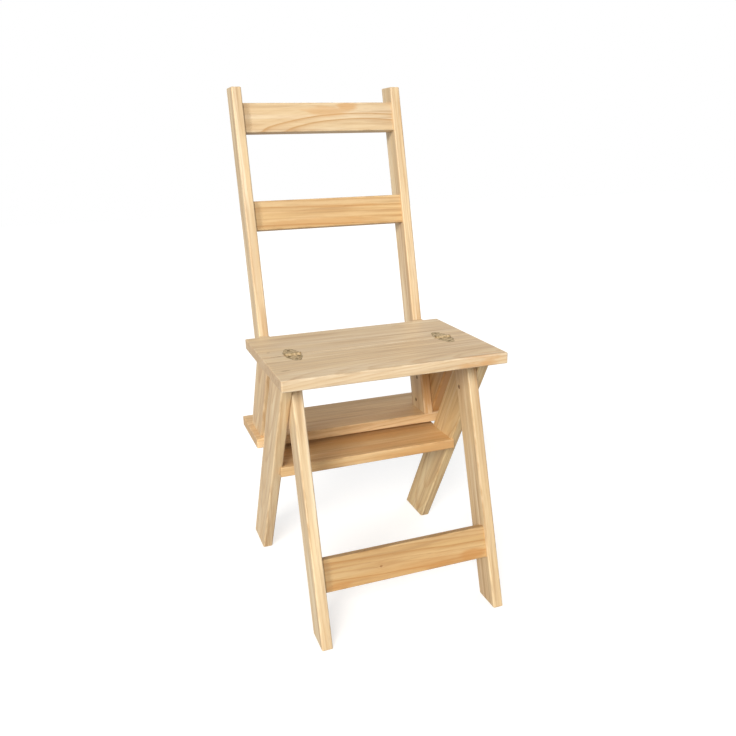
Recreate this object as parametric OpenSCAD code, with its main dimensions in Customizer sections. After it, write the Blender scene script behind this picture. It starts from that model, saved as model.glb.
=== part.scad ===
// Convertible step chair in solid pine: a chair whose rear half flips over its front half to make a
// three-step ladder.
// Frame: millimetres, +Z up, the chair faces -Y, +X points to the right of a person looking at its
// front. Origin on the floor, in the middle of the footprint box.

/* [Overall] */
// Height of the back, twice the seat height so that the back reaches the floor when flipped
total_h = 904; // [860:2:940]
// Thickness of every pine board
board_t = 19; // [17:0.5:20]
// Rounding of the long edges of the seat, the treads and the rails
edge_r = 2; // [1:0.5:3]
// Rounding of the long edges of the legs, the stiles and the side boards
leg_edge_r = 3; // [2:0.5:4]
// Rounding of the outer corners of the seat and of the upper tread in plan
corner_r = 3; // [2:0.5:5]
// Bevel on the corners of the feet and of the stile tops
foot_bevel = 1.5; // [1:0.5:4]

/* [Seat] */
// Width of the seat and of the upper tread
seat_w = 395; // [380:5:420]
// Depth of each half of the seat
half_d = 142; // [136:1:144]
// Position of the split between the two halves of the seat
split_y = -55; // [-58:1:-52]
// Gap between the two halves
split_gap = 0.3; // [0.2:0.05:0.6]

/* [Legs and stringers] */
// Half of the distance between the inner faces of the front legs
inner_x = 149.5; // [140:0.5:155]
// Width of a front leg
leg_w = 51; // [46:1:54]
// Lean of the front legs
leg_lean = 15.8; // [15:0.1:16.2]
// Front corner of the front foot on the floor
leg_foot_y = -257.5; // [-262:0.5:-252]
// Width of the rear legs and of the upper side boards
string_w = 72.5; // [66:0.5:76]
// Lean of the rear legs and of the upper side boards
string_lean = 31.4; // [30.6:0.1:32]
// Middle of the rear foot on the floor
rear_foot_y = 147; // [142:0.5:150]
// Middle of the upper side board where its line meets the floor
upper_foot_y = 255.5; // [250:0.5:260]

/* [Back] */
// Lean of the back stiles
back_lean = 13.5; // [12.8:0.1:14]
// Rear corner of the stile tops
back_top_y = 257.5; // [252:0.5:262]
// Width of a stile above the seat
stile_w = 49; // [44:1:50]
// Width of a stile below the seat
stile_low_w = 62; // [56:1:64]
// Height of the slats
slat_h = 55; // [48:1:62]
// Height of the front stretcher
stretcher_h = 55.5; // [46:0.5:60]
// Set-back of the slats from the front of the stiles
slat_back = 5; // [3:0.5:8]
// Middle height of the top slat
top_slat_z = 846.5; // [825:0.5:850]
// Middle height of the middle slat
mid_slat_z = 668.5; // [640:0.5:690]
// Middle height of the front stretcher
stretcher_z = 111.5; // [95:0.5:135]

/* [Treads] */
// Top of the upper tread
upper_tread_z = 267; // [262:1:272]
// Front edge of the upper tread
upper_tread_y = 41; // [39:1:44]
// Depth of the upper tread
upper_tread_d = 138; // [128:1:146]
// Top of the lower tread
lower_tread_z = 240; // [232:1:242]
// Front edge of the lower tread
lower_tread_y = -45; // [-48:1:-40]
// Depth of the lower tread
lower_tread_d = 123; // [100:1:126]
// Depth of the housings in the rear legs that hold the ends of the lower tread
housing = 5; // [3:0.5:7]
// Rounding of the lower tread's rear corners, which stand clear of the legs
tread_corner_r = 6; // [3:0.5:8]

/* [Joinery] */
// Diameter of the wooden dowels
dowel_d = 8; // [6:0.5:8]
// Length of dowel in a board's face
dowel_face = 12; // [10:0.5:13]
// Length of dowel in a board's end
dowel_end = 24; // [18:1:26]
// Shank diameter of the side screws
screw_d = 4; // [3.5:0.1:4.5]
// Head diameter of the side screws
screw_head_d = 8; // [7:0.5:9]
// Length of the side screws
screw_l = 30; // [26:1:33]

/* [Hinges] */
// Distance from the middle of the chair to the middle of a hinge
hinge_x = 142.5; // [136:0.5:146]
// Height of the hinge pin above the top of the seat
pin_rise = 0.15; // [0.1:0.05:0.3]
// Width of a hinge along its pin
hinge_w = 29; // [26:0.5:30]
// Length of a leaf from the pin
leaf_l = 39; // [34:0.5:41]
// Thickness of a leaf
leaf_t = 1.6; // [1.2:0.1:1.8]
// Outer diameter of the knuckles
knuckle_d = 6.4; // [6:0.2:7]
// Diameter of the pin
pin_d = 3; // [2.6:0.1:3.2]
// Head diameter of the hinge screws
hscrew_head_d = 6.4; // [5.6:0.2:6.8]
// Shank diameter of the hinge screws
hscrew_d = 3.2; // [2.8:0.1:3.6]
// Length of the hinge screws
hscrew_l = 14; // [11:0.5:15]

/* [Hidden] */
$fn = 48;
pine = [0.86, 0.71, 0.50];
pine_dark = [0.82, 0.62, 0.38];
beech = [0.80, 0.62, 0.42];
brass = [0.62, 0.50, 0.28];
steel = [0.55, 0.55, 0.56];
seat_h = total_h / 2;
under_z = seat_h - board_t;
outer_x = inner_x + board_t;
layer_in = inner_x + board_t / 2;
layer_out = outer_x + board_t / 2;
seat_front_y = split_y - half_d;
seat_rear_y = split_y + half_d;
pin_z = seat_h + pin_rise;
shoulder_z = seat_h - 1;
leg_mid_y = leg_foot_y + leg_w / 2 / cos(leg_lean);
stile_rear_0 = back_top_y - total_h * tan(back_lean);
slat_in = stile_w - slat_back - board_t / 2;
leg_screw_pos = [[-110, 371], [-114, 411]];
stile_screw_pos = [[85, 284], [80, 334]];
front_leg_dowels = [-123, -99];
rear_leg_dowels = [-136, -100];
side_top_dowels = [-20, 16];
side_foot_dowels = [64, 106];
stile_foot_dowels = [62, 96];
lower_tread_dowel_y = [-22, 8, 38];
leaf_screw_pos = [[-8.5, 11], [8.5, 11], [0, 29]];
leaf_wide_l = 15;
leaf_end_r = 8.5;
stile_lap = 12;
knuckle_side = 8;
knuckle_gap = 0.3;
split_r = 0.5;
butt_bevel = 0.4;
eps = 0.01;

// Rectangle with rounded corners, centred on the origin
module round_rect(w, h, r) {
    square([w, h - 2 * r], center = true);
    square([w - 2 * r, h], center = true);
    for (sx = [-1, 1]) {
        for (sy = [-1, 1]) {
            translate([sx * (w / 2 - r), sy * (h / 2 - r)])
                circle(r = r);
        }
    }
}

// Rectangle from the origin with its two front corners rounded and its rear corners eased
module slab_section(d, t, r_front, r_rear) {
    translate([r_front, 0])
        square([d - r_front - r_rear, t]);
    translate([0, r_front])
        square([r_front + eps, t - 2 * r_front]);
    translate([d - r_rear - eps, r_rear])
        square([r_rear + eps, t - 2 * r_rear]);
    for (z = [r_front, t - r_front]) {
        translate([r_front, z])
            circle(r = r_front);
    }
    for (z = [r_rear, t - r_rear]) {
        translate([d - r_rear, z])
            circle(r = r_rear);
    }
}

// Horizontal board, eased on its ends: section in Y and Z, length along X
module flat_board(w, y0, z0, d, r_front, r_rear, c_front, c_rear) {
    intersection() {
        translate([-w / 2, y0, z0])
            rotate([90, 0, 90])
                linear_extrude(height = w)
                    slab_section(d, board_t, r_front, r_rear);
        translate([w / 2, y0, z0 - 1])
            rotate([0, 0, 90])
                linear_extrude(height = board_t + 2)
                    slab_section(d, w, c_front, c_rear);
        translate([0, y0 + d + 1, z0 + board_t / 2])
            rotate([90, 0, 0])
                linear_extrude(height = d + 2)
                    round_rect(w, board_t, edge_r);
    }
}

// Outline of a leaning board from the side, in Y and Z, with beveled corners at its cut ends
module side_outline(mid_y, w, a, z0, z1, bevel0, bevel1) {
    half = w / 2 / cos(a);
    up = tan(a);
    front0 = mid_y - half + z0 * up;
    front1 = mid_y - half + z1 * up;
    rear0 = mid_y + half + z0 * up;
    rear1 = mid_y + half + z1 * up;
    polygon([
        [front0 + bevel0, z0],
        [front0 + bevel0 * sin(a), z0 + bevel0 * cos(a)],
        [front1 - bevel1 * sin(a), z1 - bevel1 * cos(a)],
        [front1 + bevel1, z1],
        [rear1 - bevel1, z1],
        [rear1 - bevel1 * sin(a), z1 - bevel1 * cos(a)],
        [rear0 + bevel0 * sin(a), z0 + bevel0 * cos(a)],
        [rear0 - bevel0, z0]
    ]);
}

// Board standing in the side frame, leaning by a; mid_y is its middle line at the floor.
// The cut ends are beveled by bevel0 below and bevel1 above.
module side_board(x, mid_y, w, a, z0, z1, bevel0, bevel1) {
    intersection() {
        translate([x, mid_y, 0])
            rotate([-a, 0, 0])
                translate([0, 0, -120])
                    linear_extrude(height = 1300)
                        round_rect(board_t, w, leg_edge_r);
        translate([x - board_t / 2 - 1, 0, 0])
            rotate([90, 0, 90])
                linear_extrude(height = board_t + 2)
                    side_outline(mid_y, w, a, z0, z1, bevel0, bevel1);
        translate([x, 600, 0])
            rotate([90, 0, 0])
                linear_extrude(height = 1200)
                    end_outline(z0, z1, bevel0, bevel1);
    }
}

// Outline of a standing board from the front, beveled like its side outline
module end_outline(z0, z1, bevel0, bevel1) {
    half = board_t / 2;
    polygon([
        [bevel0 - half, z0],
        [-half, z0 + bevel0],
        [-half, z1 - bevel1],
        [bevel1 - half, z1],
        [half - bevel1, z1],
        [half, z1 - bevel1],
        [half, z0 + bevel0],
        [half - bevel0, z0]
    ]);
}

// Straight wooden dowel along X
module dowel_x(x0, x1, y, z) {
    translate([x0, y, z])
        rotate([0, 90, 0])
            cylinder(h = x1 - x0, d = dowel_d);
}

// Straight wooden dowel along Z
module dowel_z(x, y, z0, z1) {
    translate([x, y, z0])
        cylinder(h = z1 - z0, d = dowel_d);
}

// Countersunk screw body pointing along +X from a head flush with x = 0
module side_screw_body() {
    rotate([0, 90, 0]) {
        cylinder(h = screw_head_d / 2 - screw_d / 2, d1 = screw_head_d, d2 = screw_d);
        cylinder(h = screw_l - 3, d = screw_d);
        translate([0, 0, screw_l - 3])
            cylinder(h = 3, d1 = screw_d, d2 = 0.6);
    }
}

// Side screw with a cross recess in its head
module side_screw() {
    difference() {
        side_screw_body();
        translate([-0.5, -2.4, -0.5])
            cube([2, 4.8, 1]);
        translate([-0.5, -0.5, -2.4])
            cube([2, 1, 4.8]);
    }
}

// Both sides' screws at a list of Y and Z positions, driven outwards from the inner faces
module place_side_screws(list, sides) {
    for (p = list) {
        for (s = sides) {
            translate([s * inner_x, p[0], p[1]])
                rotate([0, 0, s > 0 ? 0 : 180])
                    children();
        }
    }
}

// Countersunk hinge screw, pointing down from a head flush with z = 0
module hinge_screw_body() {
    mirror([0, 0, 1]) {
        cylinder(h = hscrew_head_d / 2 - hscrew_d / 2, d1 = hscrew_head_d, d2 = hscrew_d);
        cylinder(h = hscrew_l - 2, d = hscrew_d);
        translate([0, 0, hscrew_l - 2])
            cylinder(h = 2, d1 = hscrew_d, d2 = 0.6);
    }
}

// Hinge screw with a slotted head
module hinge_screw() {
    difference() {
        hinge_screw_body();
        translate([-4, -0.45, -0.9])
            cube([8, 0.9, 2]);
    }
}

// Screw places of one leaf; side is -1 for the front leaf and 1 for the rear leaf
module place_leaf_screws(side) {
    for (p = leaf_screw_pos) {
        translate([p[0], side * p[1], 0])
            children();
    }
}

// Outline of one leaf in plan, pin along X through the origin, leaf from y0 towards +Y
module leaf_outline(y0) {
    translate([-hinge_w / 2, y0])
        square([hinge_w, leaf_wide_l - y0]);
    polygon([[-hinge_w / 2, leaf_wide_l - eps], [hinge_w / 2, leaf_wide_l - eps],
        [leaf_end_r, leaf_l - leaf_end_r], [-leaf_end_r, leaf_l - leaf_end_r]]);
    translate([0, leaf_l - leaf_end_r])
        circle(r = leaf_end_r);
}

// Leaf with its knuckles; outer is true for the leaf that carries the two end knuckles
module leaf(outer) {
    mid_w = hinge_w - 2 * knuckle_side - 2 * knuckle_gap;
    difference() {
        union() {
            translate([0, 0, -pin_rise - leaf_t])
                linear_extrude(height = leaf_t)
                    leaf_outline(knuckle_d / 2 + 0.4);
            if (outer) {
                for (s = [-1, 1]) {
                    knuckle(s > 0 ? hinge_w / 2 - knuckle_side : -hinge_w / 2, knuckle_side);
                }
            }
            if (!outer) {
                knuckle(-mid_w / 2, mid_w);
            }
        }
        translate([-hinge_w, 0, 0])
            rotate([0, 90, 0])
                cylinder(h = 2 * hinge_w, d = outer ? pin_d : pin_d + 0.1);
        translate([0, 0, -pin_rise])
            place_leaf_screws(1)
                hinge_screw_hole();
    }
}

// One knuckle and the strip that ties it to the leaf
module knuckle(x0, w) {
    translate([x0, 0, 0])
        rotate([0, 90, 0])
            cylinder(h = w, d = knuckle_d);
    translate([x0, 0, -pin_rise - leaf_t])
        cube([w, knuckle_d / 2 + 1, leaf_t]);
}

// Countersunk hole for a hinge screw
module hinge_screw_hole() {
    mirror([0, 0, 1]) {
        translate([0, 0, -eps])
            cylinder(h = (hscrew_head_d - hscrew_d) / 2 + eps, d1 = hscrew_head_d + 2 * eps,
                d2 = hscrew_d);
        cylinder(h = hscrew_l - 2, d = hscrew_d);
        translate([0, 0, hscrew_l - 2])
            cylinder(h = 2, d1 = hscrew_d, d2 = 0.6);
    }
}

// Recess in the seat for both leaves, the knuckles and the screws of one hinge
module hinge_recess(x, side) {
    translate([x, split_y, pin_z]) {
        translate([0, 0, -pin_rise - leaf_t])
            linear_extrude(height = leaf_t + 1)
                mirror([0, side < 0 ? 1 : 0])
                    leaf_outline(0);
        translate([-hinge_w / 2 - 0.3, 0, 0])
            rotate([0, 90, 0])
                cylinder(h = hinge_w + 0.6, d = knuckle_d + 1);
        translate([0, 0, -pin_rise])
            place_leaf_screws(side)
                hinge_screw_hole();
    }
}

// Dowels standing in the tops of the boards at x and in the underside of the seat
module seat_dowels(x, list) {
    for (y = list) {
        for (s = [-1, 1]) {
            dowel_z(s * x, y, under_z - dowel_end, under_z + dowel_face);
        }
    }
}

// Front half of the seat, fixed to the front and rear legs
module seat_front() {
    color(pine)
        difference() {
            flat_board(seat_w, seat_front_y, under_z, half_d - split_gap / 2, edge_r, split_r,
                corner_r, split_r);
            for (s = [-1, 1]) {
                hinge_recess(s * hinge_x, -1);
            }
            seat_front_dowels_raw();
        }
}

// Rear half of the seat, fixed to the upper side boards and notched round the stiles
module seat_rear() {
    color(pine)
        difference() {
            flat_board(seat_w, split_y + split_gap / 2, under_z, half_d - split_gap / 2, split_r, edge_r,
                split_r, corner_r);
            for (s = [-1, 1]) {
                hinge_recess(s * hinge_x, 1);
                translate([s * layer_in, 0, 0])
                    stile_notch();
            }
            seat_dowels(layer_out, side_top_dowels);
        }
}

// Space in the seat's rear edge for one stile, a little wider than the stile itself
module stile_notch() {
    translate([-board_t / 2 - 0.1, stile_rear_0, 0])
        rotate([-back_lean, 0, 0])
            translate([0, -stile_low_w - 0.1, 300])
                cube([board_t + 0.2, stile_low_w, 300]);
}

// Front of a stile's lower part, as wide as the shoulder under the seat; it ends inside the rear part
module stile_low(x) {
    difference() {
        side_board(x, stile_rear_0 - stile_low_w / 2 / cos(back_lean), stile_low_w, back_lean,
            upper_tread_z, shoulder_z, butt_bevel, butt_bevel);
        translate([x - board_t, stile_rear_0, 0])
            rotate([-back_lean, 0, 0])
                translate([0, -stile_lap, 200])
                    cube([2 * board_t, stile_low_w, 400]);
    }
}

// Rear of a stile over its whole height, which is all there is of it above the seat
module stile_high(x) {
    side_board(x, stile_rear_0 - stile_w / 2 / cos(back_lean), stile_w, back_lean,
        upper_tread_z, total_h, butt_bevel, foot_bevel);
}

// Whole stile with the holes for its screws and dowels
module stile(s) {
    difference() {
        union() {
            stile_low(s * layer_in);
            stile_high(s * layer_in);
        }
        place_side_screws(stile_screw_pos, [s])
            side_screw_body();
        slat_dowels_raw();
        upper_tread_dowels_raw();
    }
}

// Left back stile
module back_stile_left() {
    color(pine)
        stile(-1);
}

// Right back stile
module back_stile_right() {
    color(pine)
        stile(1);
}

// Front leg with its screw and dowel holes
module front_leg(s) {
    difference() {
        side_board(s * layer_in, leg_mid_y, leg_w, leg_lean,
            0, under_z, foot_bevel, butt_bevel);
        place_side_screws(leg_screw_pos, [s])
            side_screw_body();
        seat_dowels(layer_in, front_leg_dowels);
        stretcher_dowels_raw();
    }
}

// Left front leg
module front_leg_left() {
    color(pine)
        front_leg(-1);
}

// Right front leg
module front_leg_right() {
    color(pine)
        front_leg(1);
}

// Rear leg, the lower stringer of the ladder
module rear_leg(s) {
    difference() {
        side_board(s * layer_out, rear_foot_y, string_w, -string_lean,
            0, under_z, foot_bevel, butt_bevel);
        place_side_screws(leg_screw_pos, [s])
            side_screw_body();
        seat_dowels(layer_out, rear_leg_dowels);
        tread_housings();
        lower_tread_dowels_raw();
    }
}

// Left rear leg
module rear_leg_left() {
    color(pine)
        rear_leg(-1);
}

// Right rear leg
module rear_leg_right() {
    color(pine)
        rear_leg(1);
}

// Upper side board, the upper stringer of the ladder
module upper_side(s) {
    difference() {
        side_board(s * layer_out, upper_foot_y, string_w, -string_lean, upper_tread_z, under_z,
            butt_bevel, butt_bevel);
        place_side_screws(stile_screw_pos, [s])
            side_screw_body();
        seat_dowels(layer_out, side_top_dowels);
        upper_tread_dowels_raw();
    }
}

// Left upper side board
module upper_side_left() {
    color(pine)
        upper_side(-1);
}

// Right upper side board
module upper_side_right() {
    color(pine)
        upper_side(1);
}

// Upper tread under the stiles and the upper side boards, the top step of the ladder
module upper_tread() {
    color(pine_dark)
        difference() {
            flat_board(seat_w, upper_tread_y, upper_tread_z - board_t, upper_tread_d, edge_r,
                edge_r, corner_r, corner_r);
            upper_tread_dowels_raw();
        }
}

// Grooves across the inner faces of the rear legs for the ends of the lower tread
module tread_housings() {
    for (s = [-1, 1]) {
        translate([s > 0 ? outer_x - 1 : -outer_x - housing, lower_tread_y, lower_tread_z - board_t])
            cube([housing + 1, lower_tread_d, board_t]);
    }
}

// Lower tread, housed between the rear legs: the bottom step of the ladder
module lower_tread() {
    color(pine_dark)
        difference() {
            flat_board(2 * (outer_x + housing), lower_tread_y, lower_tread_z - board_t,
                lower_tread_d, edge_r, edge_r, split_r, tread_corner_r);
            lower_tread_dowels_raw();
        }
}

// Rail between two leaning boards: height h, middle height z, lean a, mid_y0 the place of its
// middle plane at the floor
module leaning_rail(h, z, a, mid_y0) {
    translate([-inner_x, mid_y0 + z * tan(a), z])
        rotate([-a, 0, 0])
            rotate([90, 0, 90])
                linear_extrude(height = 2 * inner_x)
                    round_rect(board_t, h, edge_r);
}

// Middle plane of the slats at the floor
function slat_mid_y0() = stile_rear_0 - slat_in / cos(back_lean);

// Middle plane of the stretcher at the floor
function stretcher_mid_y0() = leg_foot_y + (slat_back + board_t / 2) / cos(leg_lean);

// Top slat of the back
module top_slat() {
    color(pine_dark)
        difference() {
            leaning_rail(slat_h, top_slat_z, back_lean, slat_mid_y0());
            slat_dowels_raw();
        }
}

// Middle slat of the back
module middle_slat() {
    color(pine_dark)
        difference() {
            leaning_rail(slat_h, mid_slat_z, back_lean, slat_mid_y0());
            slat_dowels_raw();
        }
}

// Stretcher between the front legs
module front_stretcher() {
    color(pine_dark)
        difference() {
            leaning_rail(stretcher_h, stretcher_z, leg_lean, stretcher_mid_y0());
            stretcher_dowels_raw();
        }
}

// Pair of dowels at each end of a leaning rail
module rail_dowels(z, a, mid_y0) {
    for (dz = [-14, 14]) {
        for (s = [-1, 1]) {
            dowel_x(s > 0 ? inner_x - dowel_end : -inner_x - dowel_face,
                s > 0 ? inner_x + dowel_face : -inner_x + dowel_end,
                mid_y0 + (z + dz) * tan(a), z + dz);
        }
    }
}

// Dowels of both slats
module slat_dowels_raw() {
    rail_dowels(top_slat_z, back_lean, slat_mid_y0());
    rail_dowels(mid_slat_z, back_lean, slat_mid_y0());
}

// Dowels of the stretcher
module stretcher_dowels_raw() {
    rail_dowels(stretcher_z, leg_lean, stretcher_mid_y0());
}

// Dowels between the legs' tops and the front half of the seat
module seat_front_dowels_raw() {
    seat_dowels(layer_in, front_leg_dowels);
    seat_dowels(layer_out, rear_leg_dowels);
}

// Dowels between the upper tread and the boards that stand on it
module upper_tread_dowels_raw() {
    for (s = [-1, 1]) {
        for (y = stile_foot_dowels) {
            dowel_z(s * layer_in, y, upper_tread_z - dowel_face, upper_tread_z + dowel_end);
        }
        for (y = side_foot_dowels) {
            dowel_z(s * layer_out, y, upper_tread_z - dowel_face, upper_tread_z + dowel_end);
        }
    }
}

// Dowels between the lower tread and the rear legs
module lower_tread_dowels_raw() {
    for (y = lower_tread_dowel_y) {
        for (s = [-1, 1]) {
            dowel_x(s > 0 ? outer_x - dowel_end : -outer_x - dowel_face,
                s > 0 ? outer_x + dowel_face : -outer_x + dowel_end,
                y, lower_tread_z - board_t / 2);
        }
    }
}

// Slat dowels
module slat_dowels() {
    color(beech)
        slat_dowels_raw();
}

// Stretcher dowels
module stretcher_dowels() {
    color(beech)
        stretcher_dowels_raw();
}

// Front seat dowels
module seat_front_dowels() {
    color(beech)
        seat_front_dowels_raw();
}

// Rear seat dowels
module seat_rear_dowels() {
    color(beech)
        seat_dowels(layer_out, side_top_dowels);
}

// Upper tread dowels
module upper_tread_dowels() {
    color(beech)
        upper_tread_dowels_raw();
}

// Lower tread dowels
module lower_tread_dowels() {
    color(beech)
        lower_tread_dowels_raw();
}

// Screws that tie the front legs to the rear legs
module leg_screws() {
    color(steel)
        place_side_screws(leg_screw_pos, [-1, 1])
            side_screw();
}

// Screws that tie the stiles to the upper side boards
module stile_screws() {
    color(steel)
        place_side_screws(stile_screw_pos, [-1, 1])
            side_screw();
}

// Leaf on the front half of the seat, with the two end knuckles
module leaf_front(x) {
    translate([x, split_y, pin_z])
        mirror([0, 1, 0])
            leaf(true);
}

// Leaf on the rear half of the seat, with the middle knuckle
module leaf_rear(x) {
    translate([x, split_y, pin_z])
        leaf(false);
}

// Front leaf of the left hinge
module hinge_leaf_front_left() {
    color(brass)
        leaf_front(-hinge_x);
}

// Front leaf of the right hinge
module hinge_leaf_front_right() {
    color(brass)
        leaf_front(hinge_x);
}

// Rear leaf of the left hinge
module hinge_leaf_rear_left() {
    color(brass)
        leaf_rear(-hinge_x);
}

// Rear leaf of the right hinge
module hinge_leaf_rear_right() {
    color(brass)
        leaf_rear(hinge_x);
}

// Pins of both hinges
module hinge_pins() {
    color(brass)
        for (s = [-1, 1]) {
            translate([s * hinge_x - hinge_w / 2, split_y, pin_z])
                rotate([0, 90, 0])
                    cylinder(h = hinge_w, d = pin_d);
        }
}

// Screws of one set of leaves
module leaf_screws(side) {
    for (s = [-1, 1]) {
        translate([s * hinge_x, split_y, seat_h])
            place_leaf_screws(side)
                hinge_screw();
    }
}

// Screws of the front leaves
module hinge_screws_front() {
    color(brass)
        leaf_screws(-1);
}

// Screws of the rear leaves
module hinge_screws_rear() {
    color(brass)
        leaf_screws(1);
}

seat_front();
front_leg_left();
front_leg_right();
rear_leg_left();
rear_leg_right();
lower_tread();
front_stretcher();
leg_screws();
seat_front_dowels();
lower_tread_dowels();
stretcher_dowels();
hinge_leaf_front_left();
hinge_leaf_front_right();
hinge_pins();
hinge_screws_front();
seat_rear();
back_stile_left();
back_stile_right();
top_slat();
middle_slat();
upper_tread();
upper_side_left();
upper_side_right();
stile_screws();
slat_dowels();
upper_tread_dowels();
seat_rear_dowels();
hinge_leaf_rear_left();
hinge_leaf_rear_right();
hinge_screws_rear();
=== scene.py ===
"""Looks of the convertible step chair: lacquered pine boards, beech dowels, aged brass hinges, screws.

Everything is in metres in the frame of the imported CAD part. Each board gets its own piece of pine: a
solid material whose growth rings are cylinders round a pith line that runs beside the board, so that
faces, edges and end grain agree with each other.
"""

import math

import bpy
from mathutils import Matrix, Vector


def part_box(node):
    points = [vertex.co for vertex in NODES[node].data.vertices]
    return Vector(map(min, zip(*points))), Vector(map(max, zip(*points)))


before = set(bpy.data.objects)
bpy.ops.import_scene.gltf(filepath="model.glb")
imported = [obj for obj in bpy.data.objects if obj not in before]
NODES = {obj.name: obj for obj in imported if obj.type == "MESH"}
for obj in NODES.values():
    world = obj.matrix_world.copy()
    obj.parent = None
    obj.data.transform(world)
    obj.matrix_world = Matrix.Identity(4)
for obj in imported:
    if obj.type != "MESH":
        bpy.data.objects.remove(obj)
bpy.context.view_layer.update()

# Linear colours of the wood
EARLYWOOD = (0.800, 0.610, 0.345)
LATEWOOD = (0.560, 0.310, 0.115)
# The next colour is heartwood, and also painted shade on the right stile and the right side board
HEARTWOOD_AND_SHADE = (0.660, 0.350, 0.120)
CREAM = (0.890, 0.735, 0.480)
TAN = (0.540, 0.355, 0.185)
KNOT_CORE = (0.170, 0.075, 0.030)
# The next colour darkens resin pockets and also the painted shade at the rails' left ends
RESIN_AND_SHADE = (0.270, 0.160, 0.070)
BEECH = (0.600, 0.400, 0.230)

# Linear colours of the metal parts
BRASS = (0.660, 0.510, 0.300)
BRASS_TARNISH = (0.270, 0.180, 0.080)
SCREW_BRASS = (0.360, 0.260, 0.140)
SCREW_BRASS_TARNISH = (0.150, 0.095, 0.040)
SCREW_STEEL = (0.380, 0.240, 0.130)
SCREW_STEEL_DARK = (0.190, 0.110, 0.055)

# Noise stretches along, across and through a board, in waves per metre
STRAY = (3.2, 11.0, 11.0)
RIPPLE = (14.0, 60.0, 60.0)
RING_PATCH = (4.0, 16.0, 16.0)
CREAM_STREAK = (3.0, 75.0, 75.0)
TAN_STREAK = (5.5, 120.0, 120.0)
HEART_CLOUD = (2.6, 20.0, 20.0)
BLUSH_EDGE = (24.0, 150.0, 150.0)
TONE_BAND = (4.0, 34.0, 34.0)
FIBRE = (38.0, 1150.0, 1150.0)
FIBRE_STREAK = (9.0, 260.0, 260.0)
RESIN_DUCT = (62.0, 1500.0, 1500.0)
KNOT_EDGE = (400.0, 400.0, 60.0)
KNOT_MOTTLE = (520.0, 520.0, 80.0)
MARK_EDGE = (260.0, 700.0, 700.0)
END_SPECKLE = (1600.0, 1600.0, 1600.0)
EDGE_RUB = (30.0, 55.0, 55.0)
LACQUER_CLOUD = (22.0, 30.0, 30.0)

# Share of late wood over one growth ring, from the start of a year to its end
RING_PROFILE = [(0.0, 0.20), (0.08, 0.0), (0.40, 0.08), (0.70, 0.36), (0.88, 0.92), (0.95, 1.0),
                (1.0, 0.25)]
# Fat and lean years: their waves per metre of radius, and how many rings they shift
YEAR_WAVES = 95.0
YEAR_SHIFT = 2.2
# Part of the grain's straying that its ripple gets
RIPPLE_SHARE = 0.16
# Distance over which the rings fade out at the ends of the shown span of radii
SHOWN_FADE = 0.003

# A knot's squeeze along the grain, and, in knot radii, its ragged edge, where its mask starts and is
# full, and how far and how much it pushes the rings aside
KNOT_SQUEEZE = 0.8
KNOT_RAGGED = 0.5
KNOT_MASK = (1.05, 0.75)
KNOT_REACH = 3.2
KNOT_PUSH = 1.6

# Where the mask of a spot starts and is full, in half lengths and half widths
SPOT_MASK = (1.2, 0.6)

# Width of the band on a board's rounded edges, where its mask starts and is full
EDGE_BAND = (0.0040, 0.0006)
# Relief of the wood, the dowels and the metal
WOOD_RELIEF = 0.00016
DOWEL_RELIEF = 0.0001
METAL_RELIEF = 0.00005
COAT_ROUGHNESS = 0.3

# Hinge leaf, measured from its pin: half width, length of the wide part, radius and middle of the
# round end, and where the mask of its rim starts and is full
LEAF_HALF = 0.0145
LEAF_WIDE = 0.015
LEAF_END_R = 0.0085
LEAF_END_Y = 0.0305
LEAF_RIM = (0.0024, 0.0006)
# Middle of the hinges, left and right, and line of their pins
HINGE_X = 0.1425
PIN_Y = -0.055

# Scratches along X, along Y and without direction, in waves per metre
ALONG_X = (90.0, 2400.0, 90.0)
ALONG_Y = (2400.0, 90.0, 90.0)
CROSSED = (900.0, 900.0, 900.0)

# Floor: half of its size, its two greys as a reflector, and its glow towards the camera
FLOOR_HALF = 8.0
FLOOR_GREY = (0.52, 0.52, 0.52)
FLOOR_GREY_LIGHT = (0.54, 0.54, 0.54)
FLOOR_GLOW = 0.62
AMBIENT = 0.32

# Camera: place in metres, turn in degrees, focal length and sensor width in millimetres
CAMERA_PLACE = (-0.4307, -1.2482, 0.7941)
CAMERA_YAW = 19.627
CAMERA_PITCH = -16.842
CAMERA_ROLL = -1.356
CAMERA_LENS = 36.0
CAMERA_SENSOR = 36.0


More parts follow.
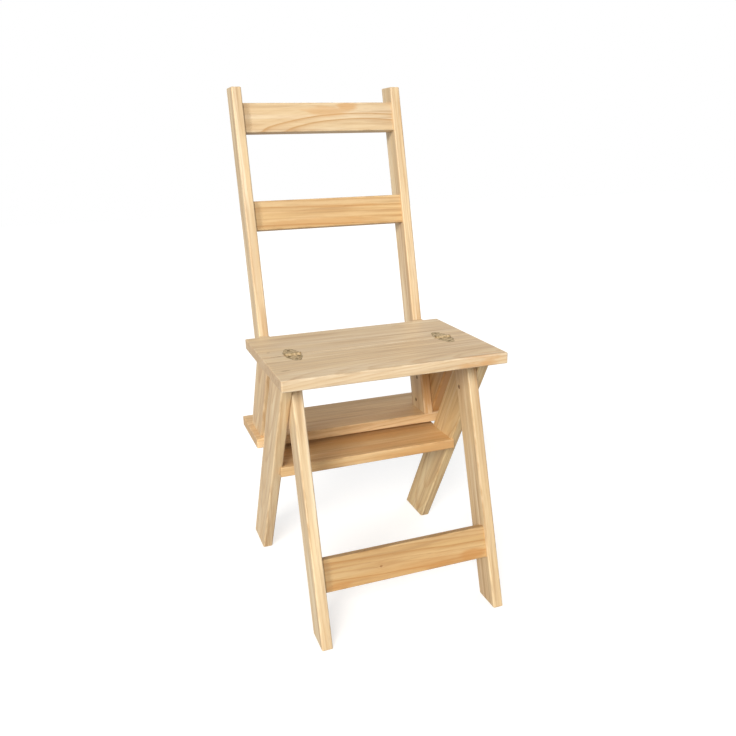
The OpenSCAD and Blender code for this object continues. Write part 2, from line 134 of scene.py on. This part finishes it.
class Graph:
    """Short way to write a node tree: every call adds a node and gives its output socket."""

    def __init__(self, name):
        self.material = bpy.data.materials.new(name)
        self.material.use_nodes = True
        self.tree = self.material.node_tree
        self.tree.nodes.clear()

    def node(self, kind, **settings):
        """Adds a node of one kind and sets its properties."""
        made = self.tree.nodes.new(kind)
        for key, value in settings.items():
            setattr(made, key, value)
        return made

    def feed(self, socket, value):
        """Links an output into socket, or sets socket to a plain value."""
        if isinstance(value, bpy.types.NodeSocket):
            self.tree.links.new(value, socket)
        else:
            socket.default_value = value

    def math(self, operation, a, b=0.0, clamp=False):
        made = self.node("ShaderNodeMath", operation=operation, use_clamp=clamp)
        self.feed(made.inputs[0], a)
        self.feed(made.inputs[1], b)
        return made.outputs[0]

    def vector(self, operation, a, b=(0.0, 0.0, 0.0), scale=1.0):
        made = self.node("ShaderNodeVectorMath", operation=operation)
        self.feed(made.inputs[0], a)
        self.feed(made.inputs[1], b)
        self.feed(made.inputs[3], scale)
        return made.outputs["Value" if operation == "LENGTH" else "Vector"]

    def step(self, value, low, high, top=1.0):
        """Smooth step from 0 below low to top above high."""
        made = self.node("ShaderNodeMapRange", interpolation_type="SMOOTHSTEP")
        for socket, given in zip(made.inputs, (value, low, high, 0.0, top)):
            self.feed(socket, given)
        return made.outputs[0]

    def noise(self, vector, detail=2.0, roughness=0.5, colour=False):
        """Noise of unit scale, for a vector that is already stretched."""
        made = self.node("ShaderNodeTexNoise", noise_dimensions="3D")
        self.feed(made.inputs["Vector"], vector)
        made.inputs["Scale"].default_value = 1.0
        made.inputs["Detail"].default_value = detail
        made.inputs["Roughness"].default_value = roughness
        return made.outputs["Color" if colour else "Fac"]

    def stretched(self, vector, stretch, detail=2.0, roughness=0.5):
        """Noise with its own number of waves per metre on each axis."""
        return self.noise(self.vector("MULTIPLY", vector, stretch), detail, roughness)

    def shake(self, vector, stretch, amount):
        """Offset vector of up to amount each way, from noise."""
        made = self.noise(self.vector("MULTIPLY", vector, stretch), 2.0, 0.5, colour=True)
        return self.vector("SCALE", self.vector("SUBTRACT", made, (0.5, 0.5, 0.5)), scale=2 * amount)

    def mix(self, factor, a, b):
        """Colour between a and b."""
        made = self.node("ShaderNodeMix", data_type="RGBA", clamp_factor=True)
        self.feed(made.inputs[0], factor)
        for socket, value in zip((made.inputs[6], made.inputs[7]), (a, b)):
            self.feed(socket, value if isinstance(value, bpy.types.NodeSocket) else (*value, 1.0))
        return made.outputs[2]

    def ramp(self, value, stops):
        """Grey level read from stops of (position, level)."""
        made = self.node("ShaderNodeValToRGB")
        elements = made.color_ramp.elements
        while len(elements) < len(stops):
            elements.new(1.0)
        for element, (position, level) in zip(elements, stops):
            element.position = position
            element.color = (level, level, level, 1.0)
        self.feed(made.inputs[0], value)
        return made.outputs[0]

    def split(self, vector):
        made = self.node("ShaderNodeSeparateXYZ")
        self.feed(made.inputs[0], vector)
        return made.outputs[0], made.outputs[1], made.outputs[2]

    def join(self, x, y, z):
        made = self.node("ShaderNodeCombineXYZ")
        for socket, value in zip(made.inputs, (x, y, z)):
            self.feed(socket, value)
        return made.outputs[0]

    def finish(self, colour, roughness, bump, bump_depth, metallic=0.0, coat=0.0):
        """Ends the tree with a shader and its relief, and gives the material."""
        shader = self.node("ShaderNodeBsdfPrincipled")
        self.feed(shader.inputs["Base Color"], colour)
        self.feed(shader.inputs["Roughness"], roughness)
        shader.inputs["Metallic"].default_value = metallic
        shader.inputs["Coat Weight"].default_value = coat
        shader.inputs["Coat Roughness"].default_value = COAT_ROUGHNESS
        relief = self.node("ShaderNodeBump")
        relief.inputs["Distance"].default_value = bump_depth
        self.feed(relief.inputs["Height"], bump)
        self.feed(shader.inputs["Normal"], relief.outputs[0])
        out = self.node("ShaderNodeOutputMaterial")
        self.feed(out.inputs["Surface"], shader.outputs[0])
        return self.material


def darker(colour, share):
    """Colour scaled to a share of its brightness."""
    return tuple(c * share for c in colour)


def face_families(node):
    """Normals of a CAD node's faces, largest total area first, opposite faces together."""
    totals = {}
    for face in NODES[node].data.polygons:
        normal = face.normal.copy()
        largest = max(range(3), key=lambda i: abs(normal[i]))
        if normal[largest] < 0:
            normal.negate()
        # Adding 0.0 makes -0.0 and 0.0 the same key
        key = tuple(round(c, 2) + 0.0 for c in normal)
        area, direction = totals.get(key, (0.0, Vector()))
        totals[key] = (area + face.area, direction + normal * face.area)
    ranked = sorted(totals.values(), key=lambda entry: -entry[0])
    return [entry[1].normalized() for entry in ranked]


def board_frame(node):
    """Matrix whose columns are a board's length, width and thickness, and the board's middle."""
    families = face_families(node)
    thickness = families[0]
    width = next(d for d in families[1:] if abs(d.dot(thickness)) < 0.05)
    length = width.cross(thickness).normalized()
    low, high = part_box(node)
    return Matrix((length, width, thickness)).transposed(), (low + high) / 2


def board_size(node, turn, middle):
    """Half of a board's size along its own length, width and thickness."""
    inverse = turn.transposed()
    spans = [inverse @ (v.co - middle) for v in NODES[node].data.vertices]
    return [max(abs(s[i]) for s in spans) for i in range(3)]


def knot_field(g, place, moved, radius, knots):
    """Pushes the rings aside round the knots; gives the new ring radius and a mask of the knots."""
    along, across = g.split(place)[:2]
    mask = 0.0
    for k_along, k_across, k_radius in knots:
        offset_a = g.math("MULTIPLY", g.math("SUBTRACT", along, k_along), KNOT_SQUEEZE)
        distance = g.vector("LENGTH", g.join(offset_a, g.math("SUBTRACT", across, k_across), 0.0))
        wobble = g.math("SUBTRACT", g.stretched(moved, KNOT_EDGE), 0.5)
        distance = g.math("ADD", distance, g.math("MULTIPLY", wobble, k_radius * KNOT_RAGGED))
        reach = g.math("POWER", g.math("DIVIDE", distance, k_radius * KNOT_REACH), 2.0)
        swell = g.math("POWER", math.e, g.math("MULTIPLY", reach, -1.0))
        radius = g.math("ADD", radius, g.math("MULTIPLY", swell, k_radius * KNOT_PUSH))
        start, full = (k_radius * share for share in KNOT_MASK)
        mask = g.math("MAXIMUM", mask, g.step(distance, start, full))
    return radius, mask


def spot_field(g, place, wobble, spots):
    """Mask of spots in a board's plane, each (along, across, length, width, strength)."""
    along, across = g.split(place)[:2]
    mask = 0.0
    for s_along, s_across, length, width, strength in spots:
        part_a = g.math("DIVIDE", g.math("SUBTRACT", along, s_along), length / 2)
        part_b = g.math("DIVIDE", g.math("SUBTRACT", across, s_across), width / 2)
        reach = g.math("ADD", g.vector("LENGTH", g.join(part_a, part_b, 0.0)), wobble)
        mask = g.math("MAXIMUM", mask, g.step(reach, *SPOT_MASK, strength))
    return mask


def pine(name, node, seed, pith, tilt=(0.0, 0.0), ring=0.0045, phase=0.0, even=0.25, wander=0.005,
         contrast=1.0, streaks=1.0, heart=0.0, tint=(1.0, 1.0, 1.0), shown=None, blush=(), knots=(),
         marks=()):
    """Lacquered pine for one board.

    pith is the distance from the board's middle to the pith line, across the width and through the
    thickness, and tilt is its slope along the length in both directions: a tilt through the thickness
    draws the arches of flat-sawn boards. ring is the growth of one year, phase shifts the rings, even
    is how alike the years are and wander how much the grain strays. contrast, streaks and heart set how
    much late wood, tone streaks and reddish heartwood show. shown is the span of radii in which the
    rings can be made out. Each knot is (along, across, radius) from the board's middle. blush are spots
    in the reddish heartwood colour: heartwood on some boards and painted shade on others. marks are
    dark spots: small resin pockets, and painted shade at the left ends of the rails. blush and marks are
    each (along, across, length, width, strength).
    """
    turn, middle = board_frame(node)
    half_width, half_thickness = board_size(node, turn, middle)[1:]
    woods = (EARLYWOOD, LATEWOOD, HEARTWOOD_AND_SHADE, CREAM, TAN)
    early, late, red_wood_and_shade, cream, tan = (tuple(c * t for c, t in zip(wood, tint)) for wood in woods)
    g = Graph(name)
    coordinates = g.node("ShaderNodeTexCoord")
    mapping = g.node("ShaderNodeMapping", vector_type="TEXTURE")
    mapping.inputs["Location"].default_value = middle
    mapping.inputs["Rotation"].default_value = turn.to_euler()
    g.feed(mapping.inputs["Vector"], coordinates.outputs["Object"])
    place = mapping.outputs[0]
    moved = g.vector("ADD", place, (seed * 1.37, seed * 0.71, seed * 2.13))

    # The grain strays slowly along the board and ripples a little
    bent = g.vector("ADD", place, g.shake(moved, STRAY, wander))
    bent = g.vector("ADD", bent, g.shake(moved, RIPPLE, wander * RIPPLE_SHARE))
    along, across, through = g.split(bent)

    # Distance from the pith line
    side_a = g.math("SUBTRACT", g.math("SUBTRACT", across, pith[0]), g.math("MULTIPLY", along, tilt[0]))
    side_b = g.math("SUBTRACT", g.math("SUBTRACT", through, pith[1]), g.math("MULTIPLY", along, tilt[1]))
    radius = g.vector("LENGTH", g.join(side_a, side_b, 0.0))
    radius, knot_mask = knot_field(g, place, moved, radius, knots)

    # Growth rings, with fat and lean years
    years = g.noise(g.join(g.math("MULTIPLY", radius, YEAR_WAVES), seed * 3.1, 0.0), 1.0)
    years = g.math("ADD", g.math("MULTIPLY", years, YEAR_SHIFT * (1.0 - even)), phase)
    cycle_at = g.math("ADD", g.math("DIVIDE", radius, ring), years)
    cycle = g.math("FRACT", cycle_at)
    rings = g.ramp(cycle, RING_PROFILE)
    strength = g.noise(g.join(g.math("FLOOR", cycle_at), seed * 5.7, 0.5), 0.0)
    patch = g.stretched(moved, RING_PATCH)
    depth = g.math("MULTIPLY", g.step(strength, 0.25, 0.72), g.step(patch, 0.22, 0.66))
    depth = g.math("ADD", g.math("MULTIPLY", depth, 1.0 - even), even)
    if shown:
        inside = g.math("MULTIPLY", g.step(radius, shown[0] - SHOWN_FADE, shown[0]),
                        g.step(radius, shown[1] + SHOWN_FADE, shown[1]))
        depth = g.math("MULTIPLY", depth, g.math("ADD", g.math("MULTIPLY", inside, 0.9), 0.1))
    rings = g.math("MULTIPLY", rings, g.math("MULTIPLY", depth, contrast), clamp=True)

    # Colour: early and late wood, cream and tan streaks, reddish heartwood, and blush spots that are
    # heartwood on some boards and painted shade on others
    pale = g.stretched(moved, CREAM_STREAK)
    colour = g.mix(g.step(pale, 0.46, 0.66, 0.55 * streaks), early, cream)
    dark = g.stretched(moved, TAN_STREAK, 3.0)
    colour = g.mix(g.step(dark, 0.49, 0.70, 0.50 * streaks), colour, tan)
    colour = g.mix(rings, colour, late)
    red = g.stretched(moved, HEART_CLOUD)
    colour = g.mix(g.math("MULTIPLY", g.step(red, 0.44, 0.72), heart, clamp=True), colour, red_wood_and_shade)
    edge_wobble = g.math("SUBTRACT", g.stretched(moved, BLUSH_EDGE, 3.0), 0.5)
    flush = spot_field(g, bent, g.math("MULTIPLY", edge_wobble, 1.4), blush)
    colour = g.mix(flush, colour, red_wood_and_shade)
    tone = g.stretched(moved, TONE_BAND, 3.0)
    colour = g.mix(g.step(tone, 0.34, 0.72, 0.26 * streaks), colour, darker(tan, 0.95))

    # Fibres and resin ducts
    fibre = g.stretched(moved, FIBRE, 3.0, 0.6)
    streak = g.stretched(moved, FIBRE_STREAK, 3.0, 0.6)
    fine = g.math("ADD", g.math("MULTIPLY", fibre, 0.5), g.math("MULTIPLY", streak, 0.5))
    colour = g.mix(g.step(fine, 0.40, 0.72, 0.36), colour, late)
    ducts = g.stretched(moved, RESIN_DUCT, 0.0)
    ducts = g.math("MULTIPLY", g.step(ducts, 0.70, 0.78),
                   g.math("ADD", g.math("MULTIPLY", rings, 0.7), 0.2))
    colour = g.mix(g.math("MULTIPLY", ducts, 0.55), colour, darker(LATEWOOD, 0.35))

    # Knots are mottled dark brown; marks are dark spots: small resin pockets, and painted shade at the
    # left ends of the rails
    core = g.mix(g.stretched(moved, KNOT_MOTTLE), KNOT_CORE, late)
    colour = g.mix(g.math("MULTIPLY", knot_mask, 0.85), colour, core)
    mark_wobble = g.math("SUBTRACT", g.stretched(moved, MARK_EDGE), 0.5)
    colour = g.mix(spot_field(g, place, mark_wobble, marks), colour, RESIN_AND_SHADE)

    # End grain drinks more lacquer and is darker
    board_normal = g.node("ShaderNodeMapping", vector_type="TEXTURE")
    board_normal.inputs["Rotation"].default_value = turn.to_euler()
    g.feed(board_normal.inputs["Vector"], coordinates.outputs["Normal"])
    end_grain = g.step(g.math("ABSOLUTE", g.split(board_normal.outputs[0])[0]), 0.55, 0.9)
    speckle = g.stretched(moved, END_SPECKLE, 1.0)
    end_colour = g.mix(g.step(speckle, 0.45, 0.75, 0.55), colour, darker(late, 0.6))
    colour = g.mix(end_grain, colour, g.mix(0.35, end_colour, tan))

    # The rounded edges are worn paler in places and hold dirt in others
    raw_across, raw_through = g.split(place)[1:]
    gap_across = g.math("SUBTRACT", half_width, g.math("ABSOLUTE", raw_across))
    gap_through = g.math("SUBTRACT", half_thickness, g.math("ABSOLUTE", raw_through))
    edge = g.step(g.math("MAXIMUM", gap_across, gap_through), *EDGE_BAND)
    rub = g.stretched(moved, EDGE_RUB, 3.0)
    colour = g.mix(g.math("MULTIPLY", edge, g.step(rub, 0.42, 0.66, 0.40)), colour, cream)
    colour = g.mix(g.math("MULTIPLY", edge, g.step(rub, 0.50, 0.30, 0.45)), colour, darker(tan, 0.72))

    # Satin lacquer: late wood is a little glossier and stands a little proud
    cloud = g.stretched(moved, LACQUER_CLOUD, 3.0)
    roughness = g.math("ADD", 0.40, g.math("MULTIPLY", cloud, 0.16))
    roughness = g.math("SUBTRACT", roughness, g.math("MULTIPLY", rings, 0.06))
    roughness = g.math("ADD", roughness, g.math("MULTIPLY", end_grain, 0.16))
    height = g.math("ADD", g.math("MULTIPLY", fine, 0.55), g.math("MULTIPLY", rings, 0.45))
    height = g.math("SUBTRACT", height, g.math("MULTIPLY", ducts, 0.5))
    return g.finish(colour, roughness, height, WOOD_RELIEF, coat=0.10)


def beech_dowel(name):
    """Beech dowel: short dark flecks on a pinkish ground."""
    g = Graph(name)
    place = g.node("ShaderNodeTexCoord").outputs["Object"]
    flecks = g.stretched(place, (900.0, 900.0, 240.0))
    cloud = g.stretched(place, (60.0, 60.0, 60.0), 3.0)
    colour = g.mix(g.step(cloud, 0.3, 0.7, 0.5), BEECH, darker(BEECH, 0.8))
    colour = g.mix(g.step(flecks, 0.62, 0.7, 0.5), colour, darker(BEECH, 0.5))
    roughness = g.math("ADD", 0.5, g.math("MULTIPLY", cloud, 0.2))
    return g.finish(colour, roughness, flecks, DOWEL_RELIEF)


def leaf_rim(g, place):
    """Mask of the rim of a hinge leaf, on both sides of the pin and on both hinges."""
    x, y = g.split(place)[:2]
    from_middle = g.math("ABSOLUTE", g.math("SUBTRACT", g.math("ABSOLUTE", x), HINGE_X))
    from_pin = g.math("ABSOLUTE", g.math("SUBTRACT", y, PIN_Y))
    taper = g.math("DIVIDE", g.math("SUBTRACT", from_pin, LEAF_WIDE), LEAF_END_Y - LEAF_WIDE, clamp=True)
    half = g.math("SUBTRACT", LEAF_HALF, g.math("MULTIPLY", taper, LEAF_HALF - LEAF_END_R))
    beyond = g.math("MAXIMUM", g.math("SUBTRACT", from_pin, LEAF_END_Y), 0.0)
    out = g.vector("LENGTH", g.join(from_middle, beyond, 0.0))
    return g.step(g.math("SUBTRACT", half, out), *LEAF_RIM)


def aged_metal(name, bright, dark, roughness, scratches, metallic, rim=False):
    """Metal that has tarnished in clouds and spots, with fine scratches; rim darkens a leaf's rim."""
    g = Graph(name)
    place = g.node("ShaderNodeTexCoord").outputs["Object"]
    cloud = g.stretched(place, (260.0, 260.0, 260.0), 4.0, 0.6)
    spots = g.stretched(place, (1400.0, 1400.0, 1400.0))
    scratch = g.stretched(place, scratches)
    colour = g.mix(g.step(cloud, 0.40, 0.66, 0.85), bright, dark)
    colour = g.mix(g.step(spots, 0.60, 0.75, 0.5), colour, darker(dark, 0.6))
    if rim:
        # Painted shade of the gap round a leaf, in patches along its rim in the tarnish colour
        worn = g.step(g.stretched(place, (170.0, 170.0, 170.0)), 0.60, 0.42)
        colour = g.mix(g.math("MULTIPLY", leaf_rim(g, place), worn), colour, darker(dark, 0.8))
    rough = g.math("ADD", roughness, g.math("MULTIPLY", cloud, 0.3))
    height = g.math("ADD", g.math("MULTIPLY", scratch, 0.6), g.math("MULTIPLY", spots, 0.4))
    return g.finish(colour, rough, height, METAL_RELIEF, metallic=metallic)


def dress(node, material):
    """Gives a CAD node one material all over."""
    mesh = NODES[node].data
    mesh.materials.clear()
    mesh.materials.append(material)
    for face in mesh.polygons:
        face.material_index = 0


# Tints of the boards, partly each board's own tone and partly painted light: SEAT and FRONT make the seat
# and the upright boards paler and bluer, as their lit tops and fronts look, and WARM makes the lower
# tread and the right side board under the seat darker and redder, as wood in shade looks. The tints
# written out in the table below are matched to each board's light in the same way.
SEAT = (0.96, 0.99, 1.12)
FRONT = (1.04, 1.09, 1.20)
SIDE = (1.00, 1.00, 1.04)
WARM = (0.90, 0.82, 0.71)
ORANGE = (0.79, 0.69, 0.55)

# Painted shade at the left end of a rail, where the upright beside it shades it: (along, across, length,
# width, strength)
CORNER_SHADE = (0.150, 0.000, 0.028, 0.110, 0.45)

# Seed, pith line, figure and colour of each board
BOARDS = {
    "seat_front": dict(
        seed=3.1, pith=(-0.060, -0.050), tilt=(0.04, 0.09), ring=0.007, contrast=0.70, streaks=1.15,
        tint=SEAT, blush=[(0.150, -0.068, 0.100, 0.006, 0.8), (0.175, -0.055, 0.050, 0.008, 0.4)],
        marks=[(-0.171, 0.0690, 0.022, 0.0040, 0.8), (-0.177, -0.0190, 0.016, 0.0040, 0.7)]),
    "seat_rear": dict(
        seed=4.7, pith=(0.040, -0.090), tilt=(0.03, 0.05), ring=0.008, contrast=0.5, streaks=1.15,
        tint=SEAT, marks=[(-0.179, -0.0430, 0.007, 0.0040, 0.6)]),
    "front_leg_left": dict(
        seed=6.2, pith=(0.060, 0.050), tilt=(0.01, 0.02), contrast=0.9, streaks=1.8, tint=FRONT),
    "front_leg_right": dict(
        seed=7.9, pith=(-0.060, 0.045), tilt=(0.01, 0.02), contrast=0.9, streaks=1.8,
        tint=(0.93, 0.94, 0.98)),
    "rear_leg_left": dict(
        seed=9.4, pith=(0.010, 0.040), tilt=(0.02, 0.06), ring=0.006, contrast=0.8, streaks=1.6,
        tint=SIDE),
    "rear_leg_right": dict(
        seed=11.3, pith=(-0.010, 0.050), tilt=(0.02, 0.05), ring=0.006, contrast=0.8, streaks=1.5,
        tint=(0.95, 0.94, 0.88)),
    "lower_tread": dict(
        seed=12.8, pith=(0.120, -0.060), tilt=(0.02, 0.05), ring=0.005, contrast=0.9, heart=0.6,
        streaks=1.4, tint=WARM, blush=[(0.040, 0.022, 0.300, 0.060, 0.4)]),
    "upper_tread": dict(
        seed=14.1, pith=(-0.130, -0.060), tilt=(0.02, 0.06), ring=0.005, contrast=0.7, heart=0.15,
        streaks=1.3, tint=(1.02, 0.97, 0.94)),
    "front_stretcher": dict(
        seed=15.6, pith=(-0.110, 0.030), tilt=(0.07, 0.05), ring=0.0090, even=0.4, wander=0.007,
        heart=0.6, streaks=1.5, tint=ORANGE, knots=[(0.049, -0.003, 0.0022)],
        blush=[(-0.125, -0.015, 0.060, 0.018, 0.7), (0.125, -0.020, 0.050, 0.012, 0.5),
               (-0.060, -0.022, 0.070, 0.010, 0.5)],
        marks=[CORNER_SHADE]),
    "top_slat": dict(
        seed=17.7, pith=(-0.038, 0.0063), tilt=(0.0, 0.225), ring=0.0100, phase=0.42, even=0.9,
        wander=0.007, contrast=1.0, heart=0.2, streaks=1.3, tint=(0.92, 0.94, 1.02), shown=(0.029, 0.049),
        blush=[(-0.055, 0.0190, 0.050, 0.020, 0.7), (-0.020, 0.0120, 0.110, 0.020, 0.5)],
        marks=[CORNER_SHADE]),
    "middle_slat": dict(
        seed=18.9, pith=(-0.160, 0.010), tilt=(0.015, 0.02), ring=0.0115, even=0.4, wander=0.005,
        contrast=1.0, heart=0.4, streaks=1.5, tint=WARM,
        blush=[(0.010, -0.018, 0.260, 0.014, 0.4), (-0.020, 0.012, 0.200, 0.008, 0.3)],
        marks=[CORNER_SHADE]),
    "back_stile_left": dict(
        seed=20.4, pith=(0.065, 0.030), tilt=(0.005, 0.01), contrast=0.9, streaks=1.8, tint=FRONT),
    "back_stile_right": dict(
        seed=22.6, pith=(-0.060, 0.035), tilt=(0.005, 0.01), contrast=0.9, streaks=1.8, tint=FRONT,
        # Painted shade along the stile's front face where it stands under the seat
        blush=[(0.250, -0.031, 0.200, 0.012, 0.8)]),
    "upper_side_left": dict(
        seed=24.2, pith=(0.012, 0.040), tilt=(0.04, 0.06), ring=0.006, contrast=0.85, streaks=1.5,
        tint=SIDE),
    "upper_side_right": dict(
        seed=26.5, pith=(0.015, 0.045), tilt=(0.04, 0.06), ring=0.006, contrast=0.8, heart=0.4,
        # Painted shade along the side board's front edge, in the narrow gap under the seat
        streaks=1.3, tint=WARM, blush=[(0.0, -0.036, 0.260, 0.010, 0.8)]),
}
for board, figure in BOARDS.items():
    dress(board, pine("pine_" + board, board, **figure))

dowel_material = beech_dowel("beech_dowel")
brass = aged_metal("aged_brass", BRASS, BRASS_TARNISH, roughness=0.38, scratches=ALONG_X,
                   metallic=0.25, rim=True)
pin_brass = aged_metal("pin_brass", BRASS, BRASS_TARNISH, roughness=0.30, scratches=ALONG_Y,
                       metallic=0.8)
screw_brass = aged_metal("screw_brass", SCREW_BRASS, SCREW_BRASS_TARNISH, roughness=0.38,
                         scratches=CROSSED, metallic=0.8)
screw_steel = aged_metal("screw_steel", SCREW_STEEL, SCREW_STEEL_DARK, roughness=0.45,
                         scratches=CROSSED, metallic=0.3)
for part in NODES:
    if part.endswith("_dowels"):
        dress(part, dowel_material)
    elif part.startswith("hinge_leaf"):
        dress(part, brass)
    elif part == "hinge_pins":
        dress(part, pin_brass)
    elif part.startswith("hinge_screws"):
        dress(part, screw_brass)
    elif part in ("leg_screws", "stile_screws"):
        dress(part, screw_steel)


# Floor, light and camera
def lit_two_ways(nodes, links, seen, unseen, output):
    """Shows the camera one shader and lights the scene with the other."""
    path = nodes.new("ShaderNodeLightPath")
    choose = nodes.new("ShaderNodeMixShader")
    links.new(path.outputs["Is Camera Ray"], choose.inputs[0])
    links.new(unseen.outputs[0], choose.inputs[1])
    links.new(seen.outputs[0], choose.inputs[2])
    links.new(choose.outputs[0], output.inputs["Surface"])


def pale_floor():
    """Wide pale floor under the chair: white to the camera, duller as a reflector."""
    half = FLOOR_HALF
    corners = [(-half, -half, 0), (half, -half, 0), (half, half, 0), (-half, half, 0)]
    mesh = bpy.data.meshes.new("floor")
    mesh.from_pydata(corners, [], [(0, 1, 2, 3)])
    floor = bpy.data.objects.new("floor", mesh)
    bpy.context.scene.collection.objects.link(floor)
    g = Graph("floor_paint")
    cloud = g.stretched(g.node("ShaderNodeTexCoord").outputs["Object"], (3.0, 3.0, 3.0))
    paint = g.node("ShaderNodeBsdfDiffuse")
    g.feed(paint.inputs["Color"], g.mix(cloud, FLOOR_GREY, FLOOR_GREY_LIGHT))
    glow = g.node("ShaderNodeEmission")
    glow.inputs["Strength"].default_value = FLOOR_GLOW
    seen = g.node("ShaderNodeAddShader")
    g.feed(seen.inputs[0], paint.outputs[0])
    g.feed(seen.inputs[1], glow.outputs[0])
    output = g.node("ShaderNodeOutputMaterial")
    lit_two_ways(g.tree.nodes, g.tree.links, seen, paint, output)
    mesh.materials.append(g.material)


def soft_sun(name, azimuth, elevation, strength, spread, colour=(1.0, 1.0, 1.0)):
    """Wide soft light from azimuth degrees left of the chair's front and elevation above it."""
    light = bpy.data.lights.new(name, "SUN")
    light.energy = strength
    light.angle = math.radians(spread)
    light.color = colour
    turn, rise = math.radians(azimuth), math.radians(elevation)
    flat = math.cos(rise)
    towards = Vector((-math.sin(turn) * flat, -math.cos(turn) * flat, math.sin(rise)))
    holder = bpy.data.objects.new(name, light)
    holder.rotation_euler = (-towards).to_track_quat("-Z", "Y").to_euler()
    bpy.context.scene.collection.objects.link(holder)


def white_world(ambient):
    """White background that lights the scene with strength ambient."""
    world = bpy.data.worlds.new("studio")
    world.use_nodes = True
    tree = world.node_tree
    tree.nodes.clear()
    seen = tree.nodes.new("ShaderNodeBackground")
    seen.inputs["Color"].default_value = (1.0, 1.0, 1.0, 1.0)
    unseen = tree.nodes.new("ShaderNodeBackground")
    unseen.inputs["Color"].default_value = (1.0, 1.0, 1.0, 1.0)
    unseen.inputs["Strength"].default_value = ambient
    lit_two_ways(tree.nodes, tree.links, seen, unseen, tree.nodes.new("ShaderNodeOutputWorld"))
    bpy.context.scene.world = world


def add_camera():
    """Camera turned from +Y by its yaw, tipped by its pitch and rolled by its roll."""
    yaw, pitch, roll = (math.radians(a) for a in (CAMERA_YAW, CAMERA_PITCH, CAMERA_ROLL))
    level = Vector((math.cos(yaw), -math.sin(yaw), 0.0))
    forward = Vector((math.sin(yaw) * math.cos(pitch), math.cos(yaw) * math.cos(pitch), math.sin(pitch)))
    upright = level.cross(forward)
    right = level * math.cos(roll) + upright * math.sin(roll)
    up = upright * math.cos(roll) - level * math.sin(roll)
    camera = bpy.data.cameras.new("camera")
    camera.sensor_width = CAMERA_SENSOR
    camera.lens = CAMERA_LENS
    camera.clip_start = 0.05
    holder = bpy.data.objects.new("camera", camera)
    turn = Matrix((right, up, -forward)).transposed().to_4x4()
    holder.matrix_world = Matrix.Translation(CAMERA_PLACE) @ turn
    bpy.context.scene.collection.objects.link(holder)
    bpy.context.scene.camera = holder


pale_floor()
white_world(AMBIENT)
soft_sun("key", azimuth=32.0, elevation=28.0, strength=3.3, spread=26.0, colour=(1.0, 0.96, 0.90))
soft_sun("left_fill", azimuth=78.0, elevation=12.0, strength=0.35, spread=50.0)
soft_sun("rear_fill", azimuth=-115.0, elevation=30.0, strength=0.9, spread=50.0)
add_camera()
bpy.context.scene.view_settings.view_transform = "Standard"
